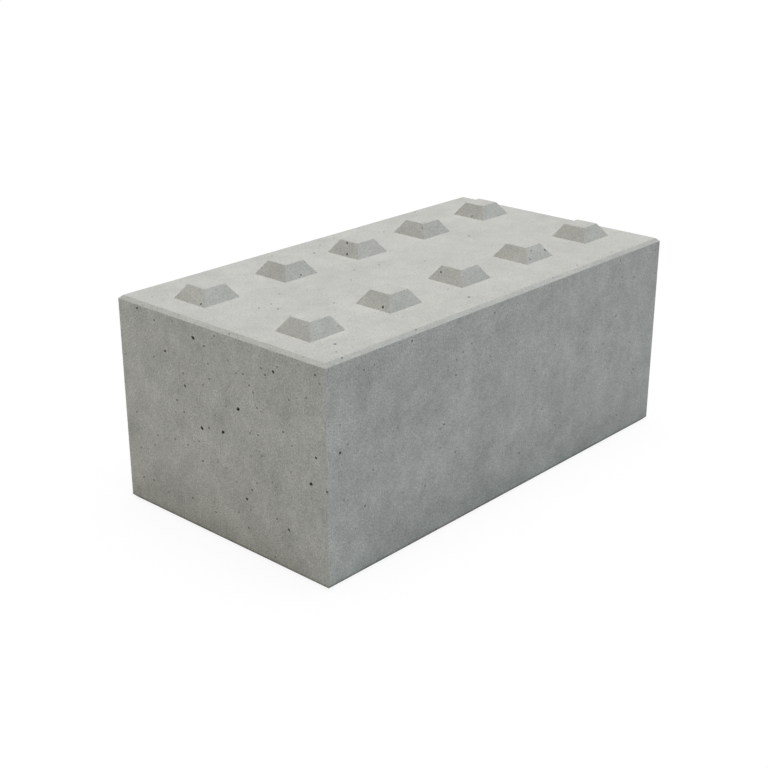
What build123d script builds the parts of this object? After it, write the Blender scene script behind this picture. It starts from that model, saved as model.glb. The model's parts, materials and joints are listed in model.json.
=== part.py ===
from build123d import *
from math import atan2, degrees
import os

os.makedirs("parts", exist_ok=True)

# Interlocking stacking block, cast solid in one pour: a rectangular body with tapered studs
# on its bearing face and matching tapered pockets in its underside.
# Millimetres. The origin is the middle of the underside, X runs along the block and Z up.

# Stud grid. The block is a whole number of pitches each way, so the outer studs stand half a
# pitch from its faces and the grid runs on over any blocks laid side by side or end to end.
stud_pitch_along = 300
stud_pitch_across = 400
studs_along = 5
studs_across = 2

# Body
body_height = 620  # underside to bearing face, which is the height of one course
arris_chamfer = 10  # on the edges round the bearing face and round the underside

# Studs, each a square frustum
stud_base = 128
stud_top = 72
stud_height = 40

# Pockets, each the form of a stud opened out to drop over it
pocket_side_clearance = 10  # level gap between the flank of a stud and its pocket
pocket_headroom = 5  # gap over the top of a stud, so that courses bear on the flat faces

# Sizes that follow from those above
block_length = studs_along * stud_pitch_along
block_width = studs_across * stud_pitch_across
flank_taper = degrees(atan2((stud_base - stud_top) / 2, stud_height))
pocket_mouth = stud_base + 2 * pocket_side_clearance
pocket_depth = stud_height + pocket_headroom

with BuildPart() as concrete_block:
    # Rectangular body
    with BuildSketch(Plane.XY):
        Rectangle(block_length, block_width)
    extrude(amount=body_height)

    # Chamfered arrises above and below. The upright arrises stay sharp.
    underside = concrete_block.faces().sort_by(Axis.Z)[0]
    bearing_face = concrete_block.faces().sort_by(Axis.Z)[-1]
    chamfer(underside.edges() + bearing_face.edges(), length=arris_chamfer)

    # Studs on the bearing face
    with BuildSketch(Plane.XY.offset(body_height)):
        with GridLocations(stud_pitch_along, stud_pitch_across, studs_along, studs_across):
            Rectangle(stud_base, stud_base)
    extrude(amount=stud_height, taper=flank_taper)

    # Pockets in the underside, on the same grid and with the same slope of flank
    with BuildSketch(Plane.XY):
        with GridLocations(stud_pitch_along, stud_pitch_across, studs_along, studs_across):
            Rectangle(pocket_mouth, pocket_mouth)
    extrude(amount=pocket_depth, taper=flank_taper, mode=Mode.SUBTRACT)

concrete_block.part.label = "concrete_block"
export_step(concrete_block.part, "parts/concrete_block.step")
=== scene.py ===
import json
import math
import random

import bmesh
import bpy
from mathutils import Matrix, Vector


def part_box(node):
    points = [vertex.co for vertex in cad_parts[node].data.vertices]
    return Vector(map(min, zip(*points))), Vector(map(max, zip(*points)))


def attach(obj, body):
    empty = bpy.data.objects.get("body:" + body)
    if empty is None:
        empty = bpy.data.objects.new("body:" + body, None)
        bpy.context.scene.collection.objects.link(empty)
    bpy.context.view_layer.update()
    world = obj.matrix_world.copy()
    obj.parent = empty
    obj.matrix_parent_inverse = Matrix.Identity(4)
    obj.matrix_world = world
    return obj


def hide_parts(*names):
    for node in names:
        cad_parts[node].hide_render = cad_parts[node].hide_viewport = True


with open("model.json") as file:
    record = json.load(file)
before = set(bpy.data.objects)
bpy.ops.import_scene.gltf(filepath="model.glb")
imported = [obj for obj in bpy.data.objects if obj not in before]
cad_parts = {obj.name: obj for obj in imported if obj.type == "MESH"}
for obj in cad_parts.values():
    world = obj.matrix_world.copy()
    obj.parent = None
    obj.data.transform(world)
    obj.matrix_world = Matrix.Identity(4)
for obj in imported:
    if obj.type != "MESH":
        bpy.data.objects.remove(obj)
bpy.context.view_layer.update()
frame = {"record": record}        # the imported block, in metres, fixed where it stands

# sizes that the frame already knows
mmPerMetre = 1000
mounts = {mount["name"]: mount for mount in frame["record"]["mounts"]}
cadLow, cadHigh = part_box("concrete_block")
blockLength = cadHigh[0] - cadLow[0]
blockWidth = cadHigh[1] - cadLow[1]
bodyHeight = mounts["bearing_face"]["pos_m"][2]
studHeight = cadHigh[2] - bodyHeight
pitchAlong = mounts["stud_grid"]["dims"]["spacing_x_mm"] / mmPerMetre
pitchAcross = mounts["stud_grid"]["dims"]["spacing_y_mm"] / mmPerMetre
print("frame loaded: block", round(blockLength, 3), "x", round(blockWidth, 3), "x", round(bodyHeight, 3))

# camera, set first because air holes are placed through it
photoView = {
    "imageSide": 768,       # pixels
    "lens": 64.137,         # mm
    "sensor": 36.0,         # mm
    "target": (-0.1736, -0.0669, 0.310),
    "distance": 3.9887,     # from the target
    "azimuth": math.radians(-47.731),
    "elevation": math.radians(21.900),
}


def setCamera(view):
    level = math.cos(view["elevation"])
    back = Vector((
        math.sin(view["azimuth"]) * level,
        -math.cos(view["azimuth"]) * level,
        math.sin(view["elevation"]),
    ))
    place = Vector(view["target"]) + back * view["distance"]
    bpy.ops.object.camera_add(location=place, rotation=(-back).to_track_quat("-Z", "Y").to_euler())
    camera = bpy.context.active_object
    camera.name = "photoCamera"
    camera.data.lens = view["lens"]
    camera.data.sensor_width = view["sensor"]
    bpy.context.scene.camera = camera
    bpy.context.view_layer.update()
    return camera


def rayThrough(camera, pixel):
    half = photoView["imageSide"] / 2
    focal = photoView["imageSide"] * photoView["lens"] / photoView["sensor"]  # in pixels
    aim = Vector((pixel[0] - half, half - pixel[1], -focal))
    return camera.matrix_world.translation, (camera.matrix_world.to_3x3() @ aim).normalized()


camera = setCamera(photoView)
print("camera set")


# helpers for modelling as by hand
def deselectAll():
    if bpy.context.object and bpy.context.object.mode != "OBJECT":
        bpy.ops.object.mode_set(mode="OBJECT")
    bpy.ops.object.select_all(action="DESELECT")


def makeActive(piece):
    deselectAll()
    piece.select_set(True)
    bpy.context.view_layer.objects.active = piece


def pick(kind, test):
    bpy.ops.mesh.select_mode(type=kind)
    bpy.ops.mesh.select_all(action="DESELECT")
    data = bpy.context.edit_object.data
    mesh = bmesh.from_edit_mesh(data)
    for item in (mesh.edges if kind == "EDGE" else mesh.faces):
        if test(item):
            item.select_set(True)
    mesh.select_flush_mode()
    bmesh.update_edit_mesh(data)


def applyModifiers(piece):
    makeActive(piece)
    for modifier in list(piece.modifiers):
        bpy.ops.object.modifier_apply(modifier=modifier.name)


# the block, cast in one pour
block = {
    "chamfer": 0.010,
    "studBase": 0.128,
    "studTop": 0.072,
    "pocketMouth": 0.148,
    "pocketDepth": 0.045,
    "arris": 0.0007,        # how far the cast edges are eased
    "arrisSteps": 2,
    "sharp": math.radians(30),  # outer edges that turn further are eased
    "near": 0.001,          # how close counts as the same place
    "level": 0.9,           # how straight up or down a level face looks
    "bakeMap": "OFBake",    # the map that a baked finish lies on
    "mapHeight": 0.96,      # share of the map that the faces take, the rest is for air holes
    "mapGap": 0.002,        # between its islands
}
flankSlope = (block["studBase"] - block["studTop"]) / 2 / studHeight  # studs and pockets alike


def gridPlaces(span, pitch):
    count = round(span / pitch)
    return [(step - (count - 1) / 2) * pitch for step in range(count)]


columns = gridPlaces(blockLength, pitchAlong)
rows = gridPlaces(blockWidth, pitchAcross)


def pushSquares(height, facing, side, rise):
    def onLevel(face):
        levelOne = face.normal.z * facing > block["level"]
        return levelOne and abs(face.calc_center_median().z - height) < block["near"]

    def isSquare(face):
        middle = face.calc_center_median()
        alongGap = min(abs(middle.x - place) for place in columns)
        acrossGap = min(abs(middle.y - place) for place in rows)
        return onLevel(face) and max(alongGap, acrossGap) < block["near"]

    for places, normal in ((columns, Vector((1, 0, 0))), (rows, Vector((0, 1, 0)))):
        for place in places:
            for cut in (place - side / 2, place + side / 2):
                pick("FACE", onLevel)
                bpy.ops.mesh.bisect(plane_co=normal * cut, plane_no=normal)
    pick("FACE", isSquare)
    bpy.ops.mesh.inset(use_individual=True, thickness=flankSlope * abs(rise), depth=rise)


def castBlock():
    deselectAll()
    bpy.ops.mesh.primitive_cube_add(size=1, location=(0, 0, bodyHeight / 2), calc_uvs=False)
    piece = bpy.context.active_object
    piece.name = "cast_block"
    piece.scale = (blockLength, blockWidth, bodyHeight)
    bpy.ops.object.transform_apply(location=True, rotation=True, scale=True)
    bpy.ops.object.mode_set(mode="EDIT")
    pick("EDGE", lambda edge: abs(edge.verts[0].co.z - edge.verts[1].co.z) < block["near"])
    bpy.ops.mesh.bevel(offset_type="OFFSET", offset=block["chamfer"], segments=1, affect="EDGES")
    pushSquares(bodyHeight, 1, block["studBase"], studHeight)        # studs
    pushSquares(0, -1, block["pocketMouth"], -block["pocketDepth"])  # pockets
    pick("EDGE", lambda edge: edge.calc_face_angle_signed() > block["sharp"])  # inner ones are below zero
    bpy.ops.mesh.bevel(
        offset_type="OFFSET", offset=block["arris"], segments=block["arrisSteps"], affect="EDGES",
    )
    bpy.ops.object.mode_set(mode="OBJECT")
    return piece


def unwrap(piece):
    makeActive(piece)
    layer = piece.data.uv_layers.new(name=block["bakeMap"])
    bpy.ops.object.mode_set(mode="EDIT")
    bpy.ops.mesh.select_all(action="SELECT")
    bpy.ops.uv.smart_project(island_margin=block["mapGap"])
    bpy.ops.object.mode_set(mode="OBJECT")
    for corner in piece.data.uv_layers[layer.name].data:
        corner.uv.y *= block["mapHeight"]


castPiece = castBlock()
unwrap(castPiece)
print("block cast:", len(castPiece.data.polygons), "faces")

# air holes that the pour left in the faces
airHoles = {
    "seed": 23,
    "depth": 1.2,               # a bubble's height, as a share of its width
    "round": (1.02, 1.14),      # how much longer a bubble is one way, and narrower the other
    "leaning": (1.08, 1.22),    # the same for one that leans
    "uneven": (0.96, 1.08),     # how far a width is off
    "lumps": 0.09,              # how far a bubble is out of round
    "bubbleKinds": 3,
    "bubbleRings": 2,           # subdivisions of the ball that a bubble starts from
    "mapTiles": 150,            # tiles across the map
    "mapFill": 0.8,             # share of its tile that a bubble takes
    "clear": 0.012,             # kept free beside the edges of a face
    "flat": 0.000175,           # how far the surface there may leave the face's plane
}
holeSizes = {   # sink is how deep a bubble's middle lies, as a share of its width
    "wide": {"width": 0.0112, "sink": 0.20},
    "middling": {"width": 0.0082, "sink": 0.20},
    "small": {"width": 0.0056, "sink": 0.20},
    "faint": {"width": 0.0074, "sink": -0.30},  # a shallow dent
}

# those that show in the photo, read off it: pixel across, pixel down and, for the larger ones,
# their lean to the right in degrees off upright
photoHoles = {
    "nearEnd": {
        "wide": (
            (193, 338, -45), (238, 409, 55), (202, 428, -30), (223, 432, 55), (311, 484, 80),
        ),
        "middling": (
            (137, 308, 50), (165, 351, -15), (273, 372, -35), (185, 386, -30), (316, 458, -20),
            (247, 499, -65), (289, 530, -30),
        ),
        "small": (
            (154, 320), (208, 364), (261, 368), (265, 375), (315, 375), (177, 400), (137, 412), (184, 412),
            (209, 428), (283, 432), (158, 435), (203, 461), (144, 477), (154, 480), (252, 490), (169, 492),
            (327, 492), (193, 498), (216, 512), (277, 519), (249, 528),
        ),
        "faint": (
            (172, 321), (214, 336), (204, 346), (126, 354), (228, 361), (225, 362), (277, 367), (183, 373),
            (236, 373), (243, 374), (209, 379), (203, 385), (249, 385), (253, 392), (306, 398), (289, 400),
            (226, 406), (257, 408), (176, 412), (215, 415), (250, 433), (258, 435), (175, 439), (199, 441),
            (155, 445), (251, 456), (262, 456), (218, 462), (226, 468), (291, 472), (237, 482), (257, 483),
            (239, 512),
        ),
    },
    "frontSide": {
        "middling": ((340, 453, 30),),
        "small": (
            (634, 277), (616, 316), (412, 341), (633, 369), (364, 370), (456, 375), (555, 425), (519, 453),
            (365, 506), (436, 529),
        ),
        "faint": (
            (655, 273), (622, 277), (619, 328), (463, 352), (596, 352), (490, 356), (535, 371), (617, 382),
            (340, 425), (440, 429), (348, 444), (440, 448), (455, 452), (373, 470), (425, 486), (344, 500),
        ),
    },
    "bearingFace": {
        "middling": ((469, 236, 90), (314, 253, 90), (469, 297, 90), (335, 344, 90)),
        "small": (
            (415, 212), (334, 238), (272, 256), (425, 261), (379, 265), (354, 270), (351, 280), (334, 303),
            (271, 304), (259, 308), (278, 309),
        ),
        "faint": (
            (384, 232), (320, 245), (612, 252), (577, 265), (448, 289), (307, 290), (279, 294), (152, 297),
            (336, 352),
        ),
    },
    "studs": {
        "middling": ((347, 243, 0), (347, 254, 0), (383, 307, 0)),
        "small": ((472, 216), (545, 250), (530, 259), (441, 272), (301, 275), (201, 304)),
        "faint": ((424, 223), (422, 228)),
    },
    "chamfers": {
        "faint": ((553, 278), (416, 330), (229, 334), (342, 358)),
    },
}

# more of them, scattered by chance, most on the sides that the photo doesn't show
scatteredHoles = {
    "nearEnd": {"toward": (1, 0, 0), "faint": 8},
    "frontSide": {"toward": (0, 1, 0), "faint": 18},
    "farEnd": {"toward": (-1, 0, 0), "wide": 6, "middling": 8, "small": 24, "faint": 42},
    "backSide": {"toward": (0, -1, 0), "middling": 2, "small": 10, "faint": 36},
    "underside": {"toward": (0, 0, 1), "small": 12, "faint": 40},
}


def meetBlock(start, toward):
    hit, place, normal, face = castPiece.ray_cast(start, toward)
    return (place, normal) if hit else None


def liesFlat(start, toward, found):
    side = Vector(toward).orthogonal().normalized()
    for offset in (side, -side, side.cross(toward), -side.cross(toward)):
        beside = meetBlock(start + offset * airHoles["clear"], toward)
        if not beside or abs((beside[0] - found[0]).dot(found[1])) > airHoles["flat"]:
            return False
    return True


def findHoles(draw):
    holes = []      # place, outward normal, long way, stretch that way, size and width
    middle = (Vector(cadLow) + Vector(cadHigh)) / 2
    half = (Vector(cadHigh) - Vector(cadLow)) / 2

    def add(found, lengthways, shape, size):
        place, normal = found
        width = holeSizes[size]["width"] * draw.uniform(*airHoles["uneven"])
        room = all((place - other).length > width + otherWidth for other, *rest, otherWidth in holes)
        if room:
            holes.append((place, normal, lengthways, draw.uniform(*airHoles[shape]), size, width))
        return room

    def addPhotoHole(size, across, down, *lean):
        start, ray = rayThrough(camera, (across, down))
        found = meetBlock(start, ray)
        turn = math.radians(*lean) if lean else draw.uniform(0, math.pi)
        way = camera.matrix_world.to_3x3() @ Vector((math.sin(turn), math.cos(turn), 0))
        way -= ray * way.dot(found[1]) / ray.dot(found[1])     # laid in the face, as the photo shows it
        add(found, way.normalized(), "leaning" if lean else "round", size)

    def addAnyHole(size, toward):
        spread = Vector([draw.uniform(-1, 1) * reach for reach in half])
        spread -= toward * spread.dot(toward)
        start = middle + spread - toward * blockLength
        found = meetBlock(start, toward)
        way = Matrix.Rotation(draw.uniform(0, math.pi), 3, toward) @ toward.orthogonal().normalized()
        return found and liesFlat(start, toward, found) and add(found, way, "round", size)

    for sizes in photoHoles.values():
        for size, entries in sizes.items():
            for entry in entries:
                addPhotoHole(size, *entry)
    for side in scatteredHoles.values():
        for size in holeSizes:
            left = side.get(size, 0)
            while left:
                if addAnyHole(size, Vector(side["toward"])):
                    left -= 1
    return holes


def bubble(kind):
    deselectAll()
    rings = airHoles["bubbleRings"]
    bpy.ops.mesh.primitive_ico_sphere_add(subdivisions=rings, radius=1 / 2, calc_uvs=False)  # one across
    piece = bpy.context.active_object
    bpy.ops.object.mode_set(mode="EDIT")
    bpy.ops.mesh.select_all(action="SELECT")
    bpy.ops.transform.vertex_random(offset=airHoles["lumps"], uniform=1.0, seed=kind)
    bpy.ops.object.mode_set(mode="OBJECT")
    bpy.ops.object.shade_smooth()
    return piece


def mapBubble(data, number):
    tile = 1 / airHoles["mapTiles"]
    across = (number % airHoles["mapTiles"] + 1 / 2) * tile     # middle of its tile
    up = 1 - (number // airHoles["mapTiles"] + 1 / 2) * tile    # rows go down from the top of the map
    layer = data.uv_layers.new(name=block["bakeMap"])
    for loop in data.loops:
        spot = data.vertices[loop.vertex_index].co * tile * airHoles["mapFill"]
        layer.data[loop.index].uv = (across + spot.x, up + spot.y)


def makeBubbles(holes, linings, draw):
    kinds = [bubble(kind) for kind in range(airHoles["bubbleKinds"])]
    copies = []
    for number, (place, normal, lengthways, stretch, size, width) in enumerate(holes):
        kind = draw.choice(kinds)
        copy = kind.copy()
        copy.data = kind.data.copy()
        bpy.context.collection.objects.link(copy)
        copy.data.materials.append(linings[size])
        mapBubble(copy.data, number)
        move = Matrix.Translation(place - normal * holeSizes[size]["sink"] * width)
        turn = Matrix((lengthways, normal.cross(lengthways), normal)).transposed().to_4x4()
        grow = Matrix.Diagonal((width * stretch, width / stretch, width * airHoles["depth"], 1))
        copy.matrix_world = move @ turn @ grow
        copies.append(copy)
    for kind in kinds:
        bpy.data.objects.remove(kind)
    deselectAll()
    for copy in copies:
        copy.select_set(True)
    bpy.context.view_layer.objects.active = copies[0]
    bpy.ops.object.join()
    bpy.ops.object.transform_apply(location=True, rotation=True, scale=True)
    return bpy.context.active_object


def cutAirHoles(piece, linings):
    draw = random.Random(airHoles["seed"])
    holes = findHoles(draw)
    bubbles = makeBubbles(holes, linings, draw)
    cut = piece.modifiers.new("airHoles", "BOOLEAN")
    cut.operation = "DIFFERENCE"
    cut.solver = "MANIFOLD"
    cut.material_mode = "TRANSFER"
    cut.object = bubbles
    applyModifiers(piece)
    bpy.data.objects.remove(bubbles)
    return len(holes)


# node helpers
def feed(tree, socket, source):
    if isinstance(source, bpy.types.NodeSocket):
        tree.links.new(source, socket)
    else:
        socket.default_value = source


def addMath(tree, operation, first, second=0.0):
    node = tree.nodes.new("ShaderNodeMath")
    node.operation = operation
    feed(tree, node.inputs[0], first)
    feed(tree, node.inputs[1], second)
    return node.outputs[0]


def addSpan(tree, value, span, result=(0.0, 1.0)):
    node = tree.nodes.new("ShaderNodeMapRange")
    feed(tree, node.inputs["Value"], value)
    for label, number in zip(("From Min", "From Max", "To Min", "To Max"), (*span, *result)):
        node.inputs[label].default_value = number
    return node.outputs["Result"]


def addNoise(tree, vector, values):
    node = tree.nodes.new("ShaderNodeTexNoise")
    tree.links.new(vector, node.inputs["Vector"])
    for label, number in values.items():
        node.inputs[label].default_value = number
    return node.outputs["Fac"]


def addColour(tree, factor, first, second):
    node = tree.nodes.new("ShaderNodeMix")
    node.data_type = "RGBA"
    factorIn, firstIn, secondIn = node.inputs[0], node.inputs[6], node.inputs[7]
    feed(tree, factorIn, factor)
    feed(tree, firstIn, first)
    feed(tree, secondIn, second)
    return node.outputs[2]


def addVector(tree, operation, *sources):
    node = tree.nodes.new("ShaderNodeVectorMath")
    node.operation = operation
    for socket, source in zip(node.inputs, sources):
        feed(tree, socket, source)
    return node.outputs[0]


def splitVector(tree, vector):
    node = tree.nodes.new("ShaderNodeSeparateXYZ")
    tree.links.new(vector, node.inputs[0])
    return node.outputs


def newGroup(name, inputs, outputs):
    tree = bpy.data.node_groups.new(name, "ShaderNodeTree")
    for way, sockets in (("INPUT", inputs), ("OUTPUT", outputs)):
        for label, kind in sockets.items():
            tree.interface.new_socket(name=label, in_out=way, socket_type="NodeSocket" + kind)
    return tree, tree.nodes.new("NodeGroupInput").outputs, tree.nodes.new("NodeGroupOutput").inputs


def useGroup(tree, group, values):
    node = tree.nodes.new("ShaderNodeGroup")
    node.node_tree = group
    for label, value in values.items():
        feed(tree, node.inputs[label], value)
    return node.outputs


# finishes
castConcrete = {
    "deep": (0.432, 0.432, 0.410, 1),      # the darker clouds of the cement skin
    "pale": (0.608, 0.608, 0.578, 1),      # the paler ones
    "clouds": {"Scale": 6.0, "Detail": 4.0, "Roughness": 0.95},
    "cloudSpan": (0.30, 0.70),             # of the noise, from deep to pale
    "cloudShift": (198.1, 257.5, 96.6),    # gives the ends, the long sides and the top clouds of their own
    "grain": {"Scale": 200.0, "Detail": 1.0, "Roughness": 0.7},
    "grainSpan": (0.25, 0.75),
    "grainDepth": 0.51,                    # how much lighter and darker the grains are
    "grainHeight": 0.0004,
    "middle": 0.5,                         # tone that clouds and grain swing about
    # pinholes too small to model are painted as dark dots: painted shade
    "pinScale": 90.0,
    "pinSpan": (0.17, 0.07),               # from the rim of a pinhole to its middle
    "pinShare": 0.7,                       # of the places for one
    "pinShadeDepth": 0.51,
    "struckSpan": (0.10, 0.65),            # from upright to facing up
    "struck": 0.55,                        # how much of clouds and grain is left where the top was struck off
    "footShadeSpan": (0.25, 0.05),              # heights over which painted shade darkens the faces towards the floor
    "footShadePower": 1.2,
    "footShadeDepth": (0.055, 0.090),           # depth of that painted shade on the ends and on the long sides
    "cornerSpan": (-0.08, 0.20),           # distances from an upright edge over which the painted shade gathers
    "chamferShadeSpan": (0.018, 0.009),           # heights over which painted shade darkens the foot's chamfer
    "chamferShadePower": 1.5,
    "chamferShadeDepth": 0.55,
    "undersideSpan": (-0.95, -0.80),       # facings from the underside, which gets no painted shade, to the chamfer
    "roughness": (0.80, 0.92),             # over the grain
    "shine": 0.2,
    "holeShade": 0.35,                     # painted shade inside an air hole, as a share of the skin's colour
    "dentShade": 0.70,                     # and painted shade inside a shallow dent
}


def cementClouds():
    tree, given, out = newGroup("cementClouds", {"Vector": "Vector", "Facing": "Vector"}, {"Tone": "Float"})
    moved = addVector(tree, "MULTIPLY_ADD", given["Facing"], castConcrete["cloudShift"], given["Vector"])
    cloud = addNoise(tree, moved, castConcrete["clouds"])
    tree.links.new(addSpan(tree, cloud, castConcrete["cloudSpan"]), out["Tone"])
    return tree


def sandGrain():
    tree, given, out = newGroup("sandGrain", {"Vector": "Vector"}, {"Tone": "Float", "Height": "Float"})
    grain = addNoise(tree, given["Vector"], castConcrete["grain"])
    tree.links.new(addSpan(tree, grain, castConcrete["grainSpan"]), out["Tone"])
    tree.links.new(grain, out["Height"])
    return tree


def pinHoles():
    tree, given, out = newGroup("pinHoles", {"Vector": "Vector"}, {"Mask": "Float"})
    cells = tree.nodes.new("ShaderNodeTexVoronoi")
    tree.links.new(given["Vector"], cells.inputs["Vector"])
    cells.inputs["Scale"].default_value = castConcrete["pinScale"]
    spot = addSpan(tree, cells.outputs["Distance"], castConcrete["pinSpan"])
    chance = splitVector(tree, cells.outputs["Color"])["X"]
    chosen = addMath(tree, "LESS_THAN", chance, castConcrete["pinShare"])
    tree.links.new(addMath(tree, "MULTIPLY", spot, chosen), out["Mask"])
    return tree


# painted shade: the faces darken towards the floor, most along the middle of each face and least at the
# corners
def paintedFootShade():
    tree, given, out = newGroup("paintedFootShade", {"Vector": "Vector", "Facing": "Vector"}, {"Mask": "Float"})
    place = splitVector(tree, given["Vector"])
    facing = splitVector(tree, given["Facing"])
    fromEnd = addMath(tree, "SUBTRACT", blockLength / 2, addMath(tree, "ABSOLUTE", place["X"]))
    fromSide = addMath(tree, "SUBTRACT", blockWidth / 2, addMath(tree, "ABSOLUTE", place["Y"]))
    inward = addSpan(tree, addMath(tree, "MAXIMUM", fromEnd, fromSide), castConcrete["cornerSpan"])
    depth = addSpan(tree, addMath(tree, "ABSOLUTE", facing["Y"]), (0.0, 1.0), castConcrete["footShadeDepth"])
    low = addSpan(tree, place["Z"], castConcrete["footShadeSpan"])
    shadeAtFoot = addMath(tree, "MULTIPLY", addMath(tree, "POWER", low, castConcrete["footShadePower"]), depth)
    shadeAtFoot = addMath(tree, "MULTIPLY", shadeAtFoot, inward)
    # painted shade on the foot's chamfer, which faces the floor
    lowest = addSpan(tree, place["Z"], castConcrete["chamferShadeSpan"])
    chamferShade = addMath(tree, "POWER", lowest, castConcrete["chamferShadePower"])
    chamferShade = addMath(tree, "MULTIPLY", chamferShade, castConcrete["chamferShadeDepth"])
    upright = addSpan(tree, facing["Z"], castConcrete["undersideSpan"])
    chamferShade = addMath(tree, "MULTIPLY", chamferShade, upright)
    tree.links.new(addMath(tree, "ADD", shadeAtFoot, chamferShade), out["Mask"])
    return tree


def concreteSkin():
    tree, given, out = newGroup(
        "concreteSkin",
        {"Vector": "Vector", "Facing": "Vector", "Shade": "Float"},
        {"Color": "Color", "Roughness": "Float", "Height": "Float"},
    )
    place = {"Vector": given["Vector"]}
    face = {"Vector": given["Vector"], "Facing": given["Facing"]}
    clouds = useGroup(tree, cementClouds(), face)
    grain = useGroup(tree, sandGrain(), place)
    pins = useGroup(tree, pinHoles(), place)
    foot = useGroup(tree, paintedFootShade(), face)
    up = splitVector(tree, given["Facing"])["Z"]
    depth = addSpan(tree, up, castConcrete["struckSpan"], (1.0, castConcrete["struck"]))
    middle = castConcrete["middle"]
    cloud = addMath(tree, "MULTIPLY", addMath(tree, "SUBTRACT", clouds["Tone"], middle), depth)
    base = addColour(tree, addMath(tree, "ADD", cloud, middle), castConcrete["deep"], castConcrete["pale"])
    grit = addMath(tree, "SUBTRACT", grain["Tone"], middle)
    grit = addMath(tree, "MULTIPLY", grit, castConcrete["grainDepth"])
    level = addMath(tree, "ADD", addMath(tree, "MULTIPLY", grit, depth), 1.0)
    # painted shade of pinholes, taken off the colour
    pinShade = addMath(tree, "MULTIPLY", pins["Mask"], castConcrete["pinShadeDepth"])
    level = addMath(tree, "SUBTRACT", level, pinShade)
    # the foot mask is painted shade, on the faces' foot and on the foot's chamfer
    level = addMath(tree, "MULTIPLY", addMath(tree, "SUBTRACT", level, foot["Mask"]), given["Shade"])
    tint = tree.nodes.new("ShaderNodeVectorMath")
    tint.operation = "SCALE"
    tree.links.new(base, tint.inputs[0])
    tree.links.new(level, tint.inputs["Scale"])
    tree.links.new(tint.outputs[0], out["Color"])
    tree.links.new(addSpan(tree, grain["Tone"], (0.0, 1.0), castConcrete["roughness"]), out["Roughness"])
    tree.links.new(grain["Height"], out["Height"])
    return tree


def concreteMaterial(name, skin, shade):
    material = bpy.data.materials.new(name)
    material.use_nodes = True
    tree = material.node_tree
    shader = tree.nodes["Principled BSDF"]
    where = tree.nodes.new("ShaderNodeTexCoord").outputs
    finish = useGroup(tree, skin, {"Vector": where["Object"], "Facing": where["Normal"], "Shade": shade})
    tree.links.new(finish["Color"], shader.inputs["Base Color"])
    tree.links.new(finish["Roughness"], shader.inputs["Roughness"])
    shader.inputs["Specular IOR Level"].default_value = castConcrete["shine"]
    bump = tree.nodes.new("ShaderNodeBump")
    bump.inputs["Distance"].default_value = castConcrete["grainHeight"]
    tree.links.new(finish["Height"], bump.inputs["Height"])
    tree.links.new(bump.outputs["Normal"], shader.inputs["Normal"])
    return material


skin = concreteSkin()
castPiece.data.materials.append(concreteMaterial("castConcrete", skin, 1.0))
# the linings take a share of the skin's colour: painted shade inside air holes and dents
shadedHoleLining = concreteMaterial("airHoleShadedLining", skin, castConcrete["holeShade"])
shadedDentLining = concreteMaterial("shadedDentLining", skin, castConcrete["dentShade"])
linings = {size: shadedDentLining if size == "faint" else shadedHoleLining for size in holeSizes}
print("finishes made")

holeCount = cutAirHoles(castPiece, linings)
print("air holes cut:", holeCount, "and the block now has", len(castPiece.data.polygons), "faces")

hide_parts("concrete_block")
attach(castPiece, "root")

# floor and light
studio = {
    "floorSide": 80.0,
    "floorLeft": (0.82, 0.82, 0.81, 1),
    "floorRight": (0.697, 0.712, 0.722, 1),
    "floorWay": (-1, 1, 0),         # from right to left
    "floorSpan": (0.15, 0.35),      # how far that way the floor turns from one to the other
    "floorGlow": 0.90,              # share of plain white in what the camera sees of the floor
    "white": (1, 1, 1, 1),
    "skyAxis": (0.04, -0.048, 1.0),  # where the light is strongest
    "skyLevel": 5.23,
    "skyPower": 8.0,                # how closely it gathers there
    "skyColour": (1.056, 1.0, 1.021),
    "warm": (0.0, 0.0, -0.53),      # tint that the light gains from the left
    "cool": (-0.40, 0.0, 0.23),     # and from the front
}


def cameraOnly(tree):
    path = tree.nodes.new("ShaderNodeLightPath").outputs
    seen = addMath(tree, "MAXIMUM", path["Is Camera Ray"], path["Is Glossy Ray"])
    return addMath(tree, "MAXIMUM", seen, path["Is Transmission Ray"])


def addMix(tree, factor, first, second):
    node = tree.nodes.new("ShaderNodeMixShader")
    feed(tree, node.inputs[0], factor)
    tree.links.new(first, node.inputs[1])
    tree.links.new(second, node.inputs[2])
    return node.outputs[0]


def addPlain(tree, kind, colour):
    node = tree.nodes.new(kind)
    feed(tree, node.inputs["Color"], colour)
    return node.outputs[0]


def addDot(tree, vector, way):
    node = tree.nodes.new("ShaderNodeVectorMath")
    node.operation = "DOT_PRODUCT"
    tree.links.new(vector, node.inputs[0])
    node.inputs[1].default_value = Vector(way).normalized()
    return node.outputs["Value"]


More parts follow.
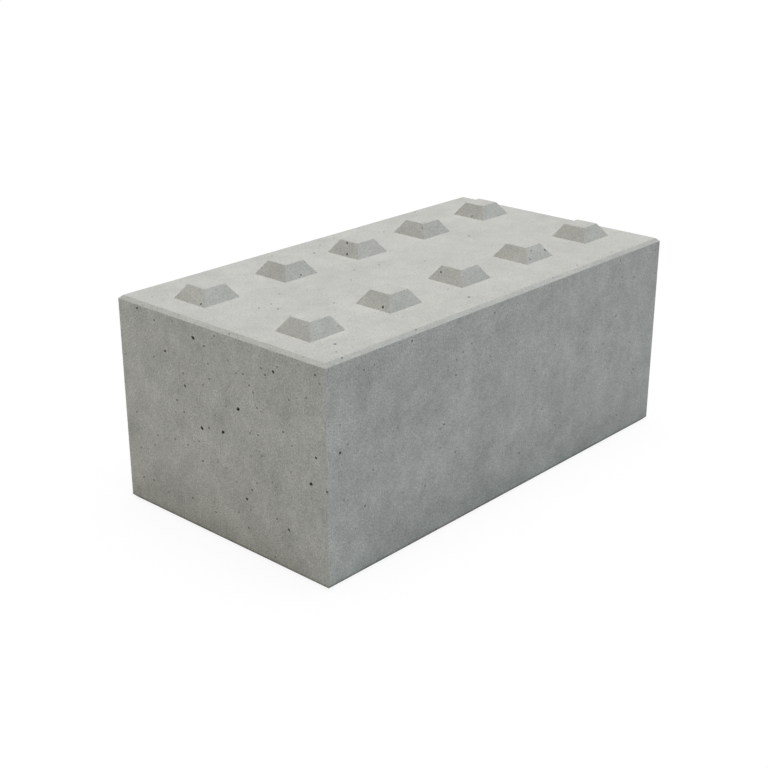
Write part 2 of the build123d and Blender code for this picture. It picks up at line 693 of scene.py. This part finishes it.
def makeFloor():
    deselectAll()
    bpy.ops.mesh.primitive_plane_add(size=studio["floorSide"])
    floor = bpy.context.active_object
    floor.name = "paleFloor"
    material = bpy.data.materials.new("paleFloor")
    material.use_nodes = True
    tree = material.node_tree
    tree.nodes.clear()
    across = addDot(tree, tree.nodes.new("ShaderNodeTexCoord").outputs["Object"], studio["floorWay"])
    across = addSpan(tree, across, studio["floorSpan"])
    ground = addColour(tree, across, studio["floorRight"], studio["floorLeft"])
    matt = addPlain(tree, "ShaderNodeBsdfDiffuse", ground)
    white = addPlain(tree, "ShaderNodeEmission", studio["white"])
    pale = addPlain(tree, "ShaderNodeBsdfDiffuse", studio["white"])
    seen = addMix(tree, studio["floorGlow"], pale, white)
    out = tree.nodes.new("ShaderNodeOutputMaterial")
    tree.links.new(addMix(tree, cameraOnly(tree), matt, seen), out.inputs["Surface"])
    floor.data.materials.append(material)


def makeSky():
    world = bpy.data.worlds.new("studioSky")
    bpy.context.scene.world = world
    world.use_nodes = True
    tree = world.node_tree
    tree.nodes.clear()
    toward = tree.nodes.new("ShaderNodeTexCoord").outputs["Generated"]
    rise = addMath(tree, "MAXIMUM", addDot(tree, toward, studio["skyAxis"]), 0.0)
    strength = addMath(tree, "MULTIPLY", addMath(tree, "POWER", rise, studio["skyPower"]), studio["skyLevel"])
    colour = studio["skyColour"]
    for axis, tint in (("X", studio["warm"]), ("Y", studio["cool"])):
        side = addMath(tree, "MULTIPLY", splitVector(tree, toward)[axis], -1.0)
        colour = addVector(tree, "MULTIPLY_ADD", addMath(tree, "MAXIMUM", side, 0.0), tint, colour)
    sky = tree.nodes.new("ShaderNodeBackground")
    tree.links.new(colour, sky.inputs["Color"])
    tree.links.new(strength, sky.inputs["Strength"])
    white = addPlain(tree, "ShaderNodeBackground", studio["white"])
    out = tree.nodes.new("ShaderNodeOutputWorld")
    tree.links.new(addMix(tree, cameraOnly(tree), sky.outputs[0], white), out.inputs["Surface"])


makeFloor()
makeSky()
bpy.context.scene.view_settings.view_transform = "Standard"
print("floor and light set")
